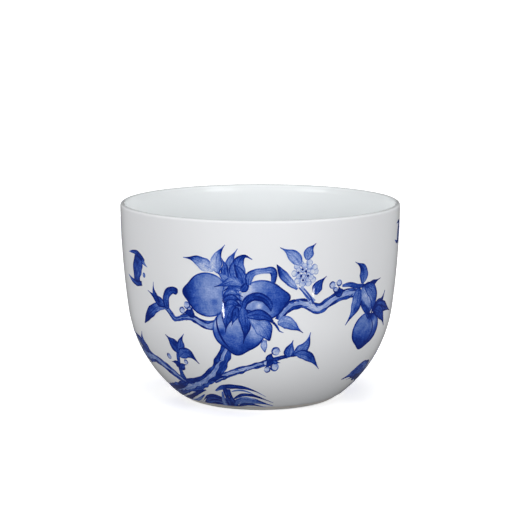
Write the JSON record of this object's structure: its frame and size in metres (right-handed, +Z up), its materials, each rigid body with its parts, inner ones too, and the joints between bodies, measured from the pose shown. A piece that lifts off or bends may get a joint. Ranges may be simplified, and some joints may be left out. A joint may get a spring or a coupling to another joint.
{
  "type": "teacup",
  "caption": "Small handleless porcelain teacup with an upright rounded wall, a thin rounded lip and a low bare foot ring around a hollow foot.",
  "frame": {"origin": "centre of the circle that the foot stands on, at the level of the table", "axes": "+Z up along the cup's axis; the painted front faces -Y, with +X to the right of a viewer who faces it"},
  "size_m": [0.075, 0.075, 0.0525],
  "materials": {
    "porcelain_clay": "fired white porcelain",
    "bare_foot": "bare fired clay, smooth and matt",
    "clear_glaze": "clear glossy glaze over white clay, painted in cobalt blue"
  },
  "bodies": {
    "root": {"porcelain_bowl": "porcelain_clay", "foot_ring": "bare_foot", "outer_glaze": "clear_glaze", "inner_glaze": "clear_glaze", "well_glaze": "clear_glaze"}
  },
  "joints": []
}
